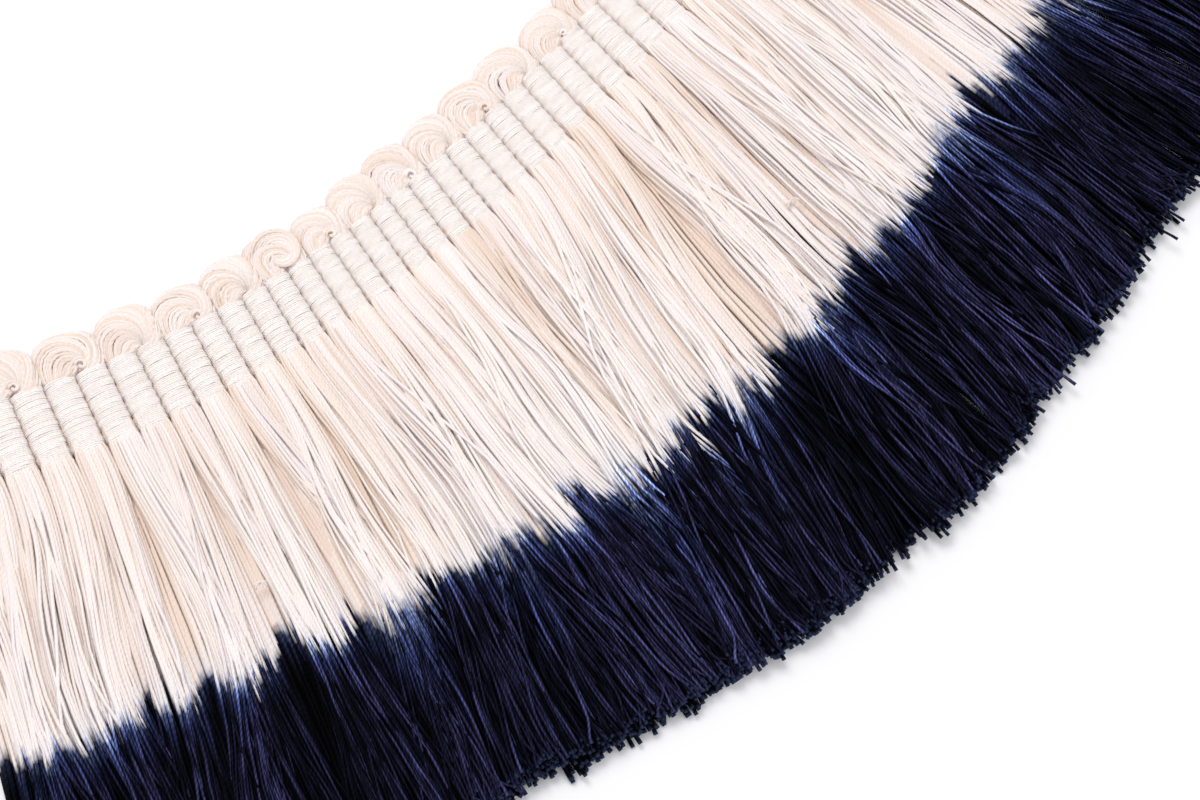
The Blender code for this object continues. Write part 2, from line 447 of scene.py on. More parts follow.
class Manners:
    """How each leg lies: where it drifts, how wide and high it lies, and how the dye took."""

    def __init__(self, rng):
        legs = FIRST_LEG + np.arange(LEGS)
        lock = [next(row for row in LOCKS if leg < row["root"][1]) for leg in legs]
        first, last = np.array([row["root"] for row in lock]).T
        low, high = np.array([row["place"] for row in lock]).T
        self.squeeze = (high - low) / (last - first)
        self.drift = low + (legs - first) * self.squeeze - legs
        self.late_drift = np.convolve(np.pad(self.drift, 2, "edge"), np.full(5, 0.2), "valid")
        gap = np.pad(low[1:] - high[:-1], 1) > LEAST_LOCK_GAP
        starts = (legs - first == 0.5) & gap[:-1]
        ends = (last - legs == 0.5) & gap[1:]
        self.low_edge = np.where(starts, OPEN_EDGE, OVERLAPPING_EDGE)
        self.high_edge = np.where(ends, OPEN_EDGE, OVERLAPPING_EDGE)
        self.ride = np.array([row["ride"] for row in lock]) + rng.uniform(-0.2, 0.2, LEGS)
        tail = np.pad(rng.normal(0.0, 6.0, LEGS), 1, "edge")
        self.tail = (tail[:-2] + 2 * tail[1:-1] + tail[2:]) / 4
        self.bow = rng.normal(0.0, 0.9, LEGS)
        self.tail_ride = rng.uniform(-1.0, 1.0, LEGS)
        self.rough = np.clip(0.75 - 0.55 * self.ride, 0.25, 1.4) * rng.uniform(0.75, 1.25, LEGS)
        self.dye = rng.normal(0.0, 0.9, LEGS)
        self.cut = rng.normal(0.0, 0.5, LEGS)
        self.seep = rng.uniform(0.7, 1.5, LEGS) * np.where(rng.random(LEGS) < 0.3, 3.0, 1.0)
        self.tint = rng.uniform(-1.0, 1.0, LEGS)
        self.hue = rng.normal(0.0, 1.0, LEGS)
        self.open_at = rng.uniform(25.0, 34.0, LEGS)


def drifted(down):
    """Share of its drift that a lock has made at a distance down, 1 where the photo was read."""
    made = []
    for distance in (down, LOCKS_SEEN_AT):
        below = np.maximum(distance - BINDING_LENGTH, 0.0)
        made.append(1 - np.exp(-eased(below, DRIFT_STARTS) / DRIFT_FADES))
    return made[0] / made[1]


class SkirtRow:
    """Threads of one row of a leg's skirt, from inside its binding to their cut ends."""

    def __init__(self, leg, rng, row, clumps, manners):
        self.leg, self.rng, self.clumps, self.manners = leg, rng, clumps, manners
        self.own = int(round(leg - FIRST_LEG))
        self.count, self.sides, self.depth = row["threads"], row["sides"], row["depth"]
        self.upper = 1.0 - self.depth
        self.bedded = smooth(self.depth, *BEDDED_DEPTHS)
        uneven = self.between(-0.22, 0.22) * (1 - 0.6 * self.bedded)
        self.place = (np.arange(self.count)[:, None] + 0.5 + uneven) / self.count * 2 - 1
        self.number, self.middle, self.in_clump = clumps.of(leg + self.place / 2)
        self.stray = self.chosen(STRAY_THREADS * (self.depth == 0.0))

        cut = longer(leg, TIP_AT, TIP_RISE) - CUT_BACK + self.about(0.5)
        cut += 0.6 * clumps.reach[self.number]
        long = self.chosen(LONG_THREADS)
        cut += manners.cut[self.own] + np.where(long, self.between(0.3, 1.2), 0.0)
        start = BINDING_LENGTH - NECK_OVERLAP
        share = np.linspace(0, 1, row["stations"])
        self.cut = cut
        self.down = start + (cut - start) * (share - 0.1 * np.sin(2 * np.pi * share))
        self.late = smooth(self.down, *LOCKS_LOOSEN)

    def between(self, low, high):
        """A number from low to high for each thread."""
        return self.rng.uniform(low, high, (self.count, 1))

    def about(self, deviation):
        """A number around 0 for each thread."""
        return self.rng.normal(0, deviation, (self.count, 1))

    def chosen(self, share):
        """Whether each thread is among this share of them."""
        return self.rng.random((self.count, 1)) < share

    def over(self, stretch):
        """0 above a stretch of the skirt, 1 below it and an even turn over it."""
        return smooth(self.down, *stretch)

    def in_neck(self):
        """Lines and heights in the neck, where the threads fill the binding's rounded section."""
        wide = (neck_width(self.leg) + LEG_GAP) / 2 + 0.25 - NECK_THREAD / 2
        tall = AXIS_HEIGHT - NECK_THREAD / 2
        upward = 1 - 2 * self.depth
        comes_out = BINDING_LENGTH - 1.5 + self.between(0.0, 0.9)
        out = smooth(self.down, comes_out, comes_out + COMES_OUT_OVER)
        fill = NECK_FILL + (1 - NECK_FILL) * out
        side = self.place * (1 - 0.2 * np.minimum(upward, 0.0) ** 2) * wide * fill
        rounded = np.sqrt(1 - 0.62 * self.place * self.place)
        height = AXIS_HEIGHT + upward * rounded * tall * fill
        line, _ = leg_point(self.leg, self.down)
        return line + across(neck_direction(self.leg)) * side[..., None], height

    def in_lane(self):
        """Lines below the neck and their directions, in a low mound that drifts with its lock."""
        manners, own, late = self.manners, self.own, self.late
        made = drifted(self.down) * (1 - self.bedded)
        self.edge = np.where(self.place < 0, manners.low_edge[own], manners.high_edge[own])
        reach = self.edge - 1 + 0.16 * np.maximum(manners.ride[own], 0.0)
        spread = 1.0 + reach * self.over(LOCKS_WIDEN) + 0.25 * late
        spread = spread + 0.45 * self.bedded * self.over(BED_WIDENS)
        to_middle = 2 * (self.middle - self.leg) - self.place
        pull = self.clumps.pull[self.number]
        self.gathered = self.place + to_middle * pull * self.over(CLUMPS_GATHER) * self.upper
        half = (1 + (manners.squeeze[own] - 1) * made * (1 - 0.8 * late)) * spread / 2
        drift = manners.drift[own] * (1 - late) + manners.late_drift[own] * late
        return leg_point(self.leg + drift * made + self.gathered * half, self.down)

    def aside(self):
        """Distances of the threads from their lines: swings, bows, waves and curled ends."""
        clumps, manners, own, number = self.clumps, self.manners, self.own, self.number
        upper, bedded = self.upper, self.bedded
        below = np.maximum(self.down - ROOT_END, 0.0)
        ends = np.maximum(self.down - ENDS_AT, 0.0)
        swing = upper * clumps.swing[number] + self.about(0.4 + 0.7 * upper**3 * manners.rough[own])
        swing = swing + np.where(self.stray, self.about(4.2), 0.0)
        ends_swing = manners.tail[own] * (1 - bedded) + 2.2 * clumps.tail[number] * upper
        ends_swing = ends_swing + self.about(1.5 - 1.1 * bedded)
        shift = np.tan(np.radians(swing)) * eased(below, SWING_STARTS)
        shift = shift + np.tan(np.radians(ends_swing)) * eased(ends, ENDS_SWING_STARTS)
        shift = shift + manners.bow[own] * upper * (1 - np.cos(2 * np.pi * below / LEG_BOW_LENGTH))
        bow = np.sin(2 * np.pi * below / clumps.bow_length[number] + clumps.bow_at[number])
        bow = bow - np.sin(clumps.bow_at[number])
        shift = shift + (0.28 + 0.2 * self.over(CLUMPS_BOW)) * upper * clumps.bow[number] * bow
        own_way = 0.2 * manners.rough[own] + 0.22 * self.over(ENDS_WAVE) + 0.25 * self.stray
        own_way = own_way * (1 - 0.6 * bedded)
        waves = wander(self.rng, self.down, (17.0, 35.0))
        shift = shift + own_way * waves * self.over(THREADS_WAVE)
        curls = self.chosen(CURLED_THREADS)
        curl = self.about(0.3) + np.where(curls, self.about(1.5), 0.0)
        return shift + curl * smooth(self.down, self.cut - 5.0, self.cut) ** 2

    def heights(self):
        """Heights below the neck. Locks are highest along their middles, and threads cross."""
        manners, own, upper = self.manners, self.own, self.upper
        ends = self.over(ENDS_RIDE)
        lies = manners.ride[own] * (1 - ends) + manners.tail_ride[own] * ends
        lies = lies * self.over(LOCKS_RIDE)
        drop = 0.68 - 0.16 * self.over(LOCKS_FLATTEN) - 0.1 * lies
        top = CROWN + 0.45 * lies - 0.9 * self.over(CROWN_SINKS)
        top = top * np.sqrt(1 - drop * self.gathered**2)
        rough = 0.6 * manners.rough[own] * self.over(LOCKS_RIDE) * (1 - self.late)
        rough = (rough + 1.1 * self.over(ENDS_ROUGHEN)) * upper
        top = top - 0.14 * self.in_clump**2 * self.over(CLUMPS_ROUND) * upper
        lift = self.clumps.lift[self.number]
        top = top + (0.1 + 0.15 * self.over(CLUMPS_LIFT)) * lift * rough
        top = top + self.between(-0.12, 0.09) * rough
        top = top + 0.12 * wander(self.rng, self.down, (11.0, 23.0)) * rough
        height = LOWEST + (top - LOWEST) * upper
        return height + np.where(self.stray, 0.25 * self.over(STRAYS_RISE), 0.0)

    def radii(self):
        """Radii from the neck to the flared ends. The lowest threads thicken and close the bed."""
        full = THREAD + (BEDDED_THREAD - THREAD) * self.bedded
        thickness = NECK_THREAD + (full - NECK_THREAD) * self.over(THREADS_THIN)
        swell = 1 + 0.07 * self.over(THREADS_SWELL) - 0.13 * self.over(ENDS_THIN)
        thickness = thickness * swell
        to_tip = self.cut - self.down
        bed = self.over(BED_THICKENS) * smooth(to_tip, 3.0, 12.0)
        thicker = 0.55 + 0.75 * smooth(self.leg, 9.0, 15.0)
        thickness = thickness * (1 + thicker * self.bedded * bed)
        flare = 1.25 - 0.25 * smooth(to_tip, 0.3, 1.6)
        return thickness / 2 * self.between(0.88, 1.1) * flare

    def past_dye(self):
        """Distances past the dye line, drawn together where the dye seeped further."""
        leg, manners, own = self.leg, self.manners, self.own
        dye = longer(leg, DYE_AT, DYE_RISE) - 3.0 * smooth(leg, 12.0, 15.5) + manners.dye[own]
        dye = dye + 0.9 * self.clumps.reach[self.number] + self.about(0.45) - 1.5 * self.bedded
        dye = dye + 0.6 - np.where(self.edge < 1, 3.0, 1.0) * self.place**2
        late = self.chosen(LATE_THREADS)
        dye = dye + np.where(late, self.between(1.0, 3.0), 0.0)
        for thread in LATE_DYE:
            near = np.abs(leg + self.place / 2 - thread["leg"]) < 0.05
            dye = dye + np.where(near & (self.depth == 0.0), thread["later"], 0.0)
        past = self.down - dye
        return np.where(past > 0, past / manners.seep[own], past)

    def tint(self):
        """How light each thread is: random tone, darker near the neck, and painted shade with its
        depth.
        """
        manners, own = self.manners, self.own
        tint = 0.6 + 0.05 * manners.tint[own] + 0.08 * self.clumps.tint[self.number]
        tint = tint + self.about(0.12) + 0.12 * self.stray + 0.06 * smooth(self.leg, 6.0, 14.0)
        # Painted light on legs that ride over their neighbours, painted shade on legs that ride
        # under them and on deep threads
        tint = tint + 0.1 * manners.ride[own] - 0.42 * smooth(self.depth, 0.0, 0.38)
        # Darker near the neck, with painted shade towards the edges of each lock, where the grooves
        # between locks lie
        tint = tint - (0.2 + 0.25 * self.place**2) * (1 - self.over(LOCKS_WIDEN))
        return np.broadcast_to(np.clip(tint, 0, 1), self.down.shape)

    def hue(self):
        """How warm (0) or cool (1) each thread is."""
        hue = 0.5 + 0.12 * self.manners.hue[self.own] + 0.16 * self.clumps.hue[self.number]
        return np.broadcast_to(np.clip(hue + self.about(0.1), 0, 1), self.down.shape)

    def strands(self):
        """All of the row's threads. The calls stay in this order, which is that of the draws."""
        down = self.down
        neck_line, neck_height = self.in_neck()
        open_line, direction = self.in_lane()
        open_line = open_line + across(direction) * self.aside()[..., None]
        open_height = self.heights()
        radii = self.radii()
        widened = smooth(down, BINDING_LENGTH - 0.5, BINDING_LENGTH + 4.0)[..., None]
        centres = neck_line * (1 - widened) + open_line * widened
        opened = smooth(down, BINDING_LENGTH + 1.0, self.manners.open_at[self.own] + 3.0)
        height = neck_height * (1 - opened) + open_height * opened
        centres[..., 2] = np.maximum(height, radii + 0.01)
        values = {"past_dye": self.past_dye(), "tint": self.tint(), "hue": self.hue()}
        values["to_tip"] = self.cut - down
        return group_of(centres, radii, self.sides, UPWARDS, values)


def group_of(centres, radii, sides, reference, values):
    """A group of tubes along lines of centres, with a value of each name at every station."""
    return {
        "centres": centres,
        "radii": radii,
        "sides": sides,
        "reference": reference,
        "values": values,
    }


def cream_strands(centres, radii, sides, rng):
    """A group of undyed threads along these lines."""
    tint = np.clip(0.24 + rng.normal(0, 0.16, (len(radii), 1)), 0, 1)
    hue = np.clip(0.5 + rng.normal(0, 0.2, (len(radii), 1)), 0, 1)
    values = {
        "past_dye": np.full(radii.shape, UNDYED),
        "tint": np.broadcast_to(tint, radii.shape),
        "hue": np.broadcast_to(hue, radii.shape),
        "to_tip": np.full(radii.shape, FAR_FROM_TIP),
    }
    return group_of(centres, radii, sides, UPWARDS, values)


def fleck_strands(leg, down, rng):
    """A few ends of thread caught crosswise on top of the skirt."""
    count = FLECK_ENDS
    share = np.linspace(-0.5, 0.5, 7)[None]
    turn = rng.normal(0.0, 0.5, (count, 1)) + 0.9 * share
    length = rng.uniform(1.0, 2.6, (count, 1))
    point, direction = leg_point(leg, down)
    side = across(direction)
    offset = rng.normal(0.0, 0.35, (count, 1, 1)) * side
    offset = offset + rng.normal(0.0, 0.2, (count, 1, 1)) * direction
    centres = point + offset + (length * share * np.cos(turn))[..., None] * side
    centres = centres + (length * share * np.sin(turn))[..., None] * direction
    centres[..., 2] = CROWN + 0.7 + 0.15 * rng.random((count, 1)) - 1.2 * share**2
    return cream_strands(centres, np.full(turn.shape, FLECK_RADIUS), 4, rng)


class Head:
    """One hank's loop: its two necks side by side, and the eye that its threads turn round."""

    def __init__(self, hank, rng):
        left = FIRST_LEG + 2 * hank
        feet = header_point(np.array([left, left + 1.0]))
        side = feet[1] - feet[0]
        self.half = np.linalg.norm(side) / 2
        self.side = side / (2 * self.half)
        self.up = across(self.side)
        self.foot = (feet[0] + feet[1]) / 2
        self.wide = neck_width(left + 0.5) / 2
        self.eye = rng.uniform(0.15, 0.7)
        self.top = rng.uniform(5.4, 6.8)
        self.shoulder = rng.uniform(0.1, 0.32)
        kind = HEADS.get(left + 0.5, rng.choice(["swirl", "fan"]))
        turns = {"swirl": rng.uniform(0.3, 0.65), "fan": rng.uniform(0.6, 1.0), "coil": 0.2}
        self.turns = turns[kind]
        self.eye_side = rng.uniform(0.3, 0.5) if kind == "coil" else rng.uniform(0.9, 1.5)
        self.coil = {"swirl": rng.uniform(0.9, 1.4), "fan": 0.0, "coil": 4.8}[kind]

    def place(self, side, up, height):
        point = self.foot + self.side * side[..., None] + self.up * up[..., None]
        point[..., 2] = height
        return point


def loop_strands(head, rng, threads, depth, thickness, sides, stations):
    """Threads of a loop, winding round its own middle line from one neck to the other."""
    rise = LOOP_BURIED + head.eye
    path = 2 * rise + LOOP_ARC
    where = np.linspace(0, path, stations)
    everywhere = np.tile(where, (threads, 1))
    wave = rng.uniform(0, 2 * np.pi)
    angle = (1 - np.clip((where - rise) / LOOP_ARC, 0, 1)) * np.pi
    height = np.minimum(np.where(where < path / 2, where, path - where) - LOOP_BURIED, head.eye)

    # The loop's outline round the eye, and the band of threads between the two
    sideways = np.cos(angle) / (2 * head.half + 0.1 - head.eye_side * np.cos(angle))
    upward = np.sin(angle) / (head.top - head.eye)
    outer = np.abs(sideways) ** LOOP_SQUARENESS + np.abs(upward) ** LOOP_SQUARENESS
    outer = outer ** (-1 / LOOP_SQUARENESS)
    outer = outer * (1 + head.shoulder * np.exp(-(((angle - SHOULDER_AT) / SHOULDER_WIDTH) ** 2)))
    spread = smooth(height, -0.6, head.eye)
    in_neck = 0.9 - 0.12 * smooth(-height, 0.0, 1.2)
    wide = (outer - EYE_RADIUS) / 2 * spread + head.wide * in_neck * (1 - spread)
    middle = (outer + EYE_RADIUS) / 2 * spread + head.half * (1 - spread)
    tall = (1.72 + 0.12 * np.sin(angle)) * spread + (AXIS_HEIGHT - 0.1) * in_neck * (1 - spread)

    # The threads turn round the band's middle on their way along it.
    start = 2 * np.pi * (np.arange(threads) + rng.uniform(-0.25, 0.25, threads)) / threads
    start = start[:, None]
    turned = start + 2 * np.pi * head.turns * smooth(where, rise * 0.7, path - rise * 0.7)
    ripple = 0.14 * np.sin(1.7 * start + wave)
    turned = turned + ripple * np.sin(2 * np.pi * where / path * 1.5 + wave)
    own_way = 0.12 * wander(rng, everywhere, (6.0, 11.0)) * spread
    radial = middle + wide * depth * np.cos(turned) + own_way
    side = head.eye_side * spread - radial * -np.cos(angle)
    up = height + radial * np.sin(angle)
    lift = 0.06 * wander(rng, everywhere, (4.0, 7.0)) * spread
    lies = np.maximum(AXIS_HEIGHT + tall * depth * np.sin(turned) + lift, 0.57 * thickness)
    centres = head.place(side, up, lies)
    radii = np.full((threads, stations), thickness / 2) * rng.uniform(0.98, 1.14, (threads, 1))
    radii = radii * (0.78 + 0.22 * spread)
    return cream_strands(centres, radii, sides, rng)


def coil_strands(head, rng):
    """A few threads that coil down into the eye of a loop."""
    threads = max(2, int(head.coil / 0.48))
    number = np.arange(threads)[:, None]
    share = np.linspace(0, 1, 28)[None]
    everywhere = share * np.ones_like(number)
    large = head.coil > LARGE_COIL
    turns = 1.35 if large else 1.0
    rise = 1.9 if large else 0.15
    dish = 0.9 if large else 0.1
    highest = 4.15 if large else 3.6
    angle = np.pi * 1.02 - 2 * np.pi * turns * share - 0.12 * number
    radius = (head.coil - 0.44 * number) * (1 - share) + 0.16 * share
    radius = radius + 0.05 * wander(rng, everywhere, (0.2, 0.33)) * (1 - share)
    side = head.eye_side + radius * np.cos(angle)
    up = head.eye + rise + radius * np.sin(angle)
    sunk = dish * (1 - np.clip(radius / head.coil, 0, 1)) ** 2
    height = highest - sunk - 1.6 * (1 - smooth(share, 0.0, 0.1))
    height = height + rng.uniform(-0.12, 0.06, (threads, 1))
    height = height + 0.05 * wander(rng, everywhere, (0.3, 0.5))
    centres = head.place(side, up, height)
    radii = np.full(radius.shape, THREAD / 2 * 0.95)
    return cream_strands(centres, radii, 6, rng)


def winding_strands(leg, rng):
    """The fine thread wound round a leg's neck, as one long helix."""
    turns = BINDING_LENGTH / WINDING_STEP
    stations = int(turns * WINDING_CORNERS) + 1
    share = np.linspace(0, 1, stations)[None]
    angle = 2 * np.pi * turns * share
    down = WINDING / 2 + (BINDING_LENGTH - WINDING) * share
    down = down + 0.03 * wander(rng, angle, (9.0, 23.0))

    # Lumps run slantwise round the neck, and the turns on them are lighter with painted light, over
    # some random tone.
    round_neck = angle % (2 * np.pi)
    slant = LUMP_TWIST * np.cos(round_neck)
    lumps = 0.05 * np.sin(2 * np.pi * down / SHORT_LUMPS + slant + rng.uniform(0, 6))
    slant = LUMP_TWIST * np.sin(round_neck)
    lumps = lumps + 0.055 * np.sin(2 * np.pi * down / LONG_LUMPS - slant + rng.uniform(0, 6))
    shade = 0.5 + 2.6 * lumps + 0.25 * wander(rng, down, (1.7, 5.3))
    lumps = lumps + 0.012 * wander(rng, angle, (5.0, 6.5))
    taper_from = BINDING_LENGTH - WINDING_TAPER_LENGTH
    lumps = lumps - WINDING_TAPER * smooth(down, taper_from, BINDING_LENGTH)
    wide = (neck_width(leg) + LEG_GAP) / 2 + 0.21 - WINDING / 2 + lumps
    tall = AXIS_HEIGHT - WINDING / 2 + lumps
    direction = neck_direction(np.array([[leg]]))
    point = header_point(np.array([[leg]])) + direction * down[..., None]
    centres = point + across(direction) * (wide * boxed(np.cos(angle)))[..., None]
    height = AXIS_HEIGHT + tall * boxed(np.sin(angle))
    centres[..., 2] = np.maximum(height, WINDING / 2 + 0.01)
    radii = np.full(share.shape, WINDING / 2)
    # side is 1 on the binding's flanks, where painted shade goes.
    values = {"tint": shade, "side": np.abs(np.cos(angle))}
    return group_of(centres, radii, 4, direction[0, 0], values)


def tube_mesh(strands):
    """Vertices, quads, corner UVs and values of one group of tubes with an even number of sides."""
    centres = strands["centres"]
    sides = strands["sides"]
    count, stations, _ = centres.shape
    tangent = np.gradient(centres, axis=1)
    tangent /= np.linalg.norm(tangent, axis=-1, keepdims=True)
    side = np.cross(tangent, strands["reference"])
    side /= np.linalg.norm(side, axis=-1, keepdims=True)
    up = np.cross(tangent, side)
    angle = (2 * np.pi * np.arange(sides) / sides)[:, None]
    ring = side[:, :, None] * np.cos(angle) + up[:, :, None] * np.sin(angle)
    vertices = centres[:, :, None] + ring * strands["radii"][:, :, None, None]

    step = np.linalg.norm(np.diff(centres, axis=1), axis=-1)
    along = np.concatenate([np.zeros((count, 1)), np.cumsum(step, axis=1)], axis=1)
    thread = np.arange(count)[:, None, None]
    station = np.arange(stations - 1)[None, :, None]
    here = np.arange(sides)[None, None, :]
    after = (here + 1) % sides
    base = (thread * stations + station) * sides
    next_base = base + sides
    walls = np.stack([base + here, base + after, next_base + after, next_base + here], axis=-1)
    around = np.stack(np.broadcast_arrays(here, here + 1, here + 1, here), axis=-1) / sides
    length = np.stack([along[:, :-1], along[:, :-1], along[:, 1:], along[:, 1:]], axis=-1)
    uv = np.stack(np.broadcast_arrays(around, length[:, :, None]), axis=-1).reshape(-1, 4, 2)
    quads = [walls.reshape(-1, 4)]
    uvs = [uv]
    owners = [np.repeat(np.arange(count), (stations - 1) * sides)]
    for first in range(0, sides - 2, 2):
        corners = np.array([0, first + 1, first + 2, first + 3])
        for end, order in ((0, corners[::-1]), (stations - 1, corners)):
            quads.append((np.arange(count)[:, None] * stations + end) * sides + order)
            caps = np.broadcast_arrays(order / sides, along[:, end : end + 1])
            uvs.append(np.stack(caps, axis=-1))
            owners.append(np.arange(count))
    values = strands["values"].items()
    return {
        "vertices": vertices.reshape(-1, 3),
        "quads": np.concatenate(quads),
        "walls": len(quads[0]),
        "uv": np.concatenate(uvs),
        "owners": np.concatenate(owners),
        "count": count,
        "longest": along.max(),
        "values": {name: np.repeat(value.reshape(-1), sides) for name, value in values},
    }


def make_piece(name, groups, material, rng):
    """One mesh object from groups of tubes, with UV maps in millimetres and of separate strips."""
    meshes = [tube_mesh(group) for group in groups]
    threads = sum(mesh["count"] for mesh in meshes)
    strip_rows = 2 if threads > 1 else 1
    columns = int(np.ceil(threads / strip_rows))
    phase = rng.uniform(0, 500, threads)
    vertices, quads, smooth_faces, thread_uv, strip_uv = [], [], [], [], []
    first_vertex = first_thread = 0
    for mesh in meshes:
        owner = first_thread + mesh["owners"]
        around, along = mesh["uv"][..., 0], mesh["uv"][..., 1]
        column = (owner % columns)[:, None]
        row = (owner // columns)[:, None]
        strip_u = (column + 0.06 + 0.88 * around) / columns
        strip_v = (row + 0.01 + 0.98 * along / mesh["longest"]) / strip_rows
        strip_uv.append(np.stack([strip_u, strip_v], axis=-1))
        thread_uv.append(np.stack([around, along + phase[owner][:, None]], axis=-1))
        vertices.append(mesh["vertices"])
        quads.append(mesh["quads"] + first_vertex)
        smooth_faces.append(np.arange(len(mesh["quads"])) < mesh["walls"])
        first_vertex += len(mesh["vertices"])
        first_thread += mesh["count"]
    vertices = np.concatenate(vertices) * MM
    quads = np.concatenate(quads)
    data = bpy.data.meshes.new(name)
    data.vertices.add(len(vertices))
    data.vertices.foreach_set("co", vertices.ravel())
    data.loops.add(quads.size)
    data.loops.foreach_set("vertex_index", quads.ravel().astype(np.int32))
    data.polygons.add(len(quads))
    data.polygons.foreach_set("loop_start", np.arange(0, quads.size, 4, dtype=np.int32))
    data.polygons.foreach_set("use_smooth", np.concatenate(smooth_faces))
    data.update(calc_edges=True)
    for layer, values in (("OFBake", strip_uv), ("Thread", thread_uv)):
        data.uv_layers.new(name=layer).data.foreach_set("uv", np.concatenate(values).ravel())
    for attribute in meshes[0]["values"]:
        values = np.concatenate([mesh["values"][attribute] for mesh in meshes])
        data.attributes.new(attribute, "FLOAT", "POINT").data.foreach_set("value", values)
    data.materials.append(material)
    piece = bpy.data.objects.new(name, data)
    bpy.context.scene.collection.objects.link(piece)
    return piece


class Nodes:
    """Short calls for building one material's node tree."""

    def __init__(self, name):
        self.material = bpy.data.materials.new(name)
        self.material.use_nodes = True
        self.tree = self.material.node_tree
        self.shader = self.tree.nodes["Principled BSDF"]

    def put(self, socket, value):
        """Links a socket to another node's output, or gives it a value of its own."""
        if isinstance(value, bpy.types.NodeSocket):
            self.tree.links.new(value, socket)
        else:
            socket.default_value = value

    def add(self, kind, inputs=(), **settings):
        node = self.tree.nodes.new(kind)
        for key, value in settings.items():
            setattr(node, key, value)
        for socket, value in dict(inputs).items():
            self.put(node.inputs[socket], value)
        return node

    def math(self, operation, first, second=0.0, third=0.0):
        inputs = {0: first, 1: second, 2: third}
        return self.add("ShaderNodeMath", inputs, operation=operation).outputs[0]

    def value(self, attribute):
        return self.add("ShaderNodeAttribute", attribute_name=attribute).outputs["Fac"]

    def noise(self, scale, detail=2.0, place=None):
        if place is None:
            place = self.add("ShaderNodeTexCoord").outputs["Object"]
        inputs = {"Vector": place, "Scale": scale, "Detail": detail}
        return self.add("ShaderNodeTexNoise", inputs).outputs["Fac"]

    def map_range(self, value, low, high, to_low=0.0, to_high=1.0):
        inputs = {0: value, 1: low, 2: high, 3: to_low, 4: to_high}
        return self.add("ShaderNodeMapRange", inputs).outputs[0]

    def ramp(self, value, stops):
        node = self.add("ShaderNodeValToRGB", {0: value})
        elements = node.color_ramp.elements
        while len(elements) < len(stops):
            elements.new(0.5)
        for element, (position, colour) in zip(elements, stops):
            element.position = position
            element.color = (*colour, 1.0)
        return node.outputs[0]

    def mix(self, share, first, second, blend="MIX"):
        """Two colours mixed. The node's sockets 6 and 7 and its output 2 are those for colours."""
        node = self.add("ShaderNodeMix", data_type="RGBA", blend_type=blend)
        for socket, value in ((0, share), (6, first), (7, second)):
            self.put(node.inputs[socket], (*value, 1.0) if isinstance(value, tuple) else value)
        return node.outputs[2]

    def shade(self, colour, amount):
        grey = self.add("ShaderNodeCombineColor", {0: amount, 1: amount, 2: amount}).outputs[0]
        return self.mix(1.0, colour, grey, "MULTIPLY")

    def set(self, **values):
        for name, value in values.items():
            self.put(self.shader.inputs[name.replace("_", " ")], value)


def plies(nodes, lay):
    """Place round a two-ply thread, and its height: 0 between the plies and 1 on their crowns."""
    uv = nodes.add("ShaderNodeUVMap", uv_map="Thread").outputs[0]
    around, along, _ = nodes.add("ShaderNodeSeparateXYZ", {0: uv}).outputs
    turns = nodes.math("SUBTRACT", around, nodes.math("DIVIDE", along, lay))
    wave = nodes.math("COSINE", nodes.math("MULTIPLY", turns, 2 * np.pi))
    return around, nodes.math("ABSOLUTE", wave)


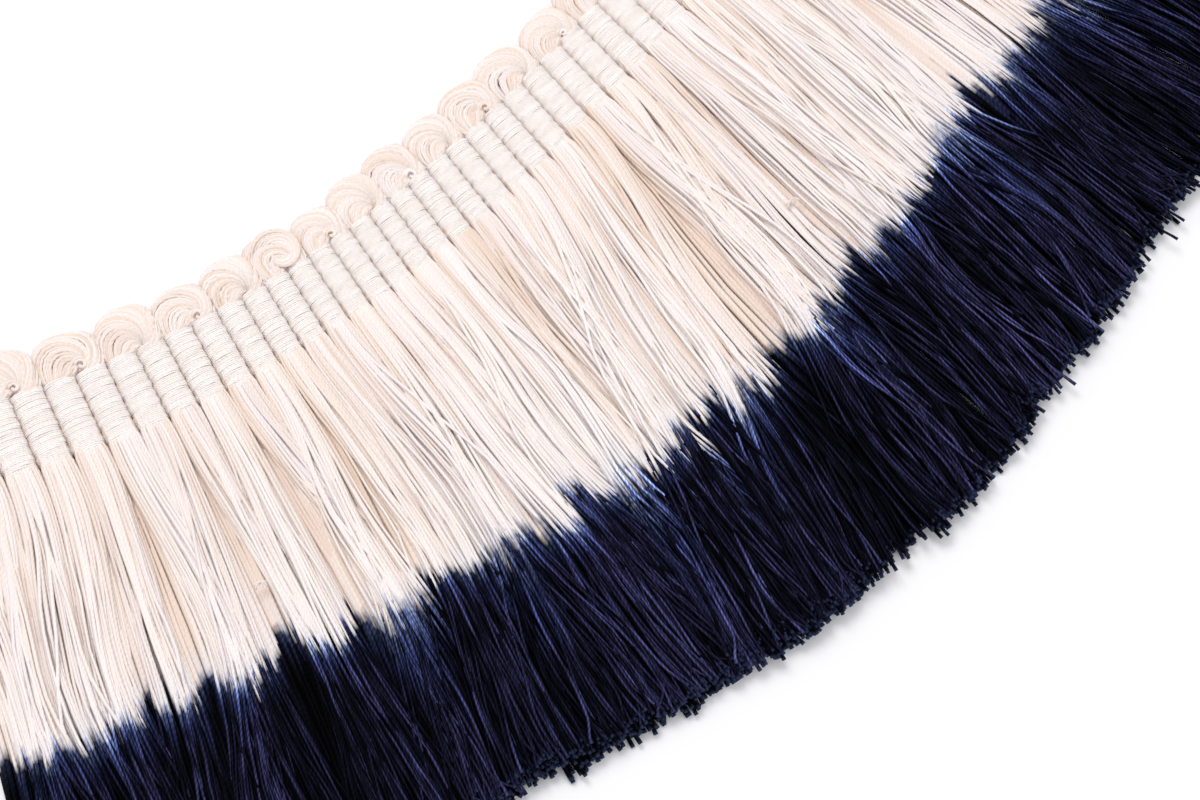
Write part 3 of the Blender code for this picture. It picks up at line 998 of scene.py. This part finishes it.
def dipped_cotton():
    """Soft two-ply cotton, cream above and dipped navy below, with a short blue seep between."""
    nodes = Nodes("dipped_cotton")
    around, crown = plies(nodes, COTTON_LAY)
    # Place round the thread, from its top to its underside, where painted light and shade go
    flank_for_painted_light = nodes.math("SINE", nodes.math("MULTIPLY", around, 2 * np.pi))
    thread_uv = nodes.add("ShaderNodeUVMap", uv_map="Thread").outputs[0]
    stretched = nodes.add("ShaderNodeMapping", {0: thread_uv, "Scale": (0.5, 0.15, 1.0)})
    patches = nodes.noise(1.0, place=stretched.outputs[0])
    seep = nodes.math("SUBTRACT", nodes.noise(SEEP_NOISE), 0.5)
    past = nodes.math("MULTIPLY_ADD", seep, 1.6, nodes.value("past_dye"))
    tint = nodes.value("tint")

    cream = nodes.ramp(tint, CREAM)
    # Painted shade in the grooves between the plies
    cream = nodes.shade(cream, nodes.map_range(crown, 0.0, 0.5, 0.94, 1.0))
    # Painted shade on the threads' undersides and lower flanks
    cream = nodes.mix(nodes.map_range(flank_for_painted_light, -1.0, 0.2, 0.0, 0.18), cream, CREAM_PAINTED_SHADE)
    cream = nodes.mix(1.0, cream, nodes.ramp(nodes.value("hue"), HUES), "MULTIPLY")
    near_dye = nodes.map_range(past, -5.0, 0.0, 0.0, 0.6)
    hazy = nodes.math("MULTIPLY", near_dye, nodes.map_range(patches, 0.4, 0.65))
    cream = nodes.mix(hazy, cream, HAZE)

    blue = nodes.ramp(nodes.map_range(past, 0.0, NAVY_AT), NAVY)
    least = nodes.map_range(past, 0.0, 6.0, 0.3, 0.03)
    # The tint's painted shade on deep threads darkens the navy too.
    lit = nodes.math("MULTIPLY_ADD", nodes.math("POWER", tint, 3.4), 2.4, least)
    blue = nodes.shade(blue, lit)
    # Painted highlights on the navy's ply crests, with painted shade between them
    painted_crest_light = nodes.map_range(nodes.math("POWER", crown, 2.0), 0.0, 1.0, 0.55, 1.25)
    blue = nodes.shade(blue, painted_crest_light)
    # A painted highlight along each navy thread's top and painted shade on its sides
    blue = nodes.shade(blue, nodes.map_range(flank_for_painted_light, -0.95, -0.15, 1.5, 0.15))
    blue = nodes.shade(blue, nodes.map_range(patches, 0.38, 0.68, 0.2, 1.8))

    dyed = nodes.map_range(past, -0.9, 0.9)
    colour = nodes.mix(dyed, cream, blue)
    at_tip = nodes.map_range(nodes.value("to_tip"), 0.05, 0.5, 0.6, 0.0)
    colour = nodes.mix(at_tip, colour, CUT_END)
    height = nodes.math("MULTIPLY_ADD", nodes.noise(FUZZ_NOISE, 3.0), 0.35, crown)
    inputs = {"Strength": 0.6, "Distance": COTTON_RELIEF, "Height": height}
    nodes.set(
        Base_Color=colour,
        Roughness=0.62,
        Normal=nodes.add("ShaderNodeBump", inputs).outputs[0],
        Specular_IOR_Level=nodes.map_range(dyed, 0.0, 1.0, 0.25, 0.03),
        Sheen_Weight=nodes.map_range(dyed, 0.0, 1.0, 0.12, 0.004),
        Sheen_Roughness=0.5,
    )
    return nodes.material


def binding_thread():
    """Fine cream thread, wound tight and smooth."""
    nodes = Nodes("binding_thread")
    _, crown = plies(nodes, WINDING_LAY)
    mottled = nodes.map_range(nodes.noise(MOTTLE_NOISE, 3.0), 0.35, 0.65, -0.3, 0.3)
    # The winding's tint carries the painted light on its lumps as well as random mottling.
    colour = nodes.ramp(nodes.math("ADD", mottled, nodes.value("tint")), BINDING_CREAM)
    # Painted shade in the grooves between the winding's plies
    colour = nodes.shade(colour, nodes.map_range(crown, 0.0, 0.6, 0.95, 1.0))
    # Painted shade on the binding's flanks, towards the grooves between bindings
    rounded = nodes.math("POWER", nodes.value("side"), 16.0)
    colour = nodes.mix(nodes.map_range(rounded, 0.0, 1.0), colour, BINDING_PAINTED_SHADE)
    height = nodes.math("MULTIPLY_ADD", nodes.noise(FUZZ_NOISE, 3.0), 0.5, crown)
    height = nodes.math("MULTIPLY_ADD", nodes.noise(LUMP_NOISE), 2.5, height)
    inputs = {"Strength": 0.5, "Distance": WINDING_RELIEF, "Height": height}
    nodes.set(
        Base_Color=colour,
        Roughness=0.6,
        Normal=nodes.add("ShaderNodeBump", inputs).outputs[0],
        Specular_IOR_Level=0.3,
        Sheen_Weight=0.15,
        Sheen_Roughness=0.5,
    )
    return nodes.material


def make_floor():
    """The plain white table."""
    half = TABLE_HALF
    corners = [(-half, -half, 0), (half, -half, 0), (half, half, 0), (-half, half, 0)]
    data = bpy.data.meshes.new("table")
    data.from_pydata(corners, [], [(0, 1, 2, 3)])
    floor = bpy.data.objects.new("table", data)
    bpy.context.scene.collection.objects.link(floor)
    nodes = Nodes("table")
    nodes.set(Base_Color=TABLE_COLOUR, Roughness=0.8, Specular_IOR_Level=0.2)
    data.materials.append(nodes.material)


def make_camera():
    """The photograph's camera. Returns its directions to the right and away along the table."""
    turn, rise, roll = np.radians([VIEW_TURN, VIEW_ELEVATION, VIEW_ROLL])
    right = Vector((np.cos(turn), -np.sin(turn), 0.0))
    away = Vector((np.sin(turn), np.cos(turn), 0.0))
    back = away * -np.cos(rise) + Vector((0, 0, np.sin(rise)))
    top = away * np.sin(rise) + Vector((0, 0, np.cos(rise)))
    image_right = right * np.cos(roll) + top * np.sin(roll)
    image_top = top * np.cos(roll) - right * np.sin(roll)
    data = bpy.data.cameras.new("camera")
    data.lens = LENS
    data.sensor_width = SENSOR_WIDTH
    data.clip_start = 0.01
    data.clip_end = 10.0
    camera = bpy.data.objects.new("camera", data)
    bpy.context.scene.collection.objects.link(camera)
    axes = Matrix((image_right, image_top, back)).transposed().to_4x4()
    place = (Vector((*AIM, 0.0)) + back * DISTANCE) * MM
    camera.matrix_world = Matrix.Translation(place) @ axes
    bpy.context.scene.camera = camera
    return right, away


def make_lights(right, away):
    """A bright, even studio, and one soft key light."""
    world = bpy.data.worlds.new("studio")
    world.use_nodes = True
    background = world.node_tree.nodes["Background"]
    background.inputs["Color"].default_value = SKY_COLOUR
    background.inputs["Strength"].default_value = SKY_STRENGTH
    bpy.context.scene.world = world
    data = bpy.data.lights.new("key", "AREA")
    data.shape = "DISK"
    data.size = KEY_SIZE
    data.energy = KEY_POWER
    data.color = KEY_COLOUR
    key = bpy.data.objects.new("key", data)
    bpy.context.scene.collection.objects.link(key)
    rightwards, outwards, upwards = KEY_FROM
    place = (right * rightwards + away * outwards + Vector((0, 0, upwards))) * KEY_DISTANCE
    key.location = place
    key.rotation_mode = "QUATERNION"
    key.rotation_quaternion = place.to_track_quat("Z", "Y")


def hank_groups(hank, rng, clumps, manners):
    """Every thread of a hank: its loop and its filling, its coil, its two skirts and any flecks."""
    head = Head(hank, rng)
    stations = 26 if head.coil else 30
    groups = [
        loop_strands(head, rng, LOOP_THREADS, 1.0, THREAD, 4, stations),
        loop_strands(
            head,
            rng,
            LOOP_FILLING_THREADS,
            LOOP_FILLING_DEPTH,
            LOOP_FILLING,
            4,
            LOOP_FILLING_STATIONS,
        ),
    ]
    if head.coil:
        groups.append(coil_strands(head, rng))
    for leg in (FIRST_LEG + 2 * hank, FIRST_LEG + 2 * hank + 1):
        for row in SKIRT_ROWS:
            layer = clumps["upper" if row["depth"] < UPPER_CLUMPS_DEPTH else "middle"]
            groups.append(SkirtRow(leg, rng, row, layer, manners).strands())
    for fleck in FLECKS:
        if 0 <= fleck["leg"] - FIRST_LEG + 0.5 - 2 * hank < 2:
            groups.append(fleck_strands(fleck["leg"], fleck["down"], rng))
    return groups


def main():
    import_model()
    thread = dipped_cotton()
    winding = binding_thread()
    shared = np.random.default_rng(SEED)
    clumps = {"upper": Clumps(shared, 3, 6), "middle": Clumps(shared, 2, 4)}
    manners = Manners(shared)
    for hank in range(HANKS):
        rng = np.random.default_rng(HANK_SEED + hank)
        groups = hank_groups(hank, rng, clumps, manners)
        node = f"hank_{hank + 1:02d}"
        piece = make_piece(f"threads_{hank + 1:02d}", groups, thread, rng)
        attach(piece, "root")
        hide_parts(node)
    for number in range(LEGS):
        leg = FIRST_LEG + number
        rng = np.random.default_rng(BINDING_SEED + number)
        piece = make_piece(f"winding_{number + 1:02d}", [winding_strands(leg, rng)], winding, rng)
        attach(piece, "root")
        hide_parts(f"binding_{number + 1:02d}")
    make_floor()
    right, away = make_camera()
    make_lights(right, away)
    bpy.context.scene.view_settings.view_transform = "Standard"


main()
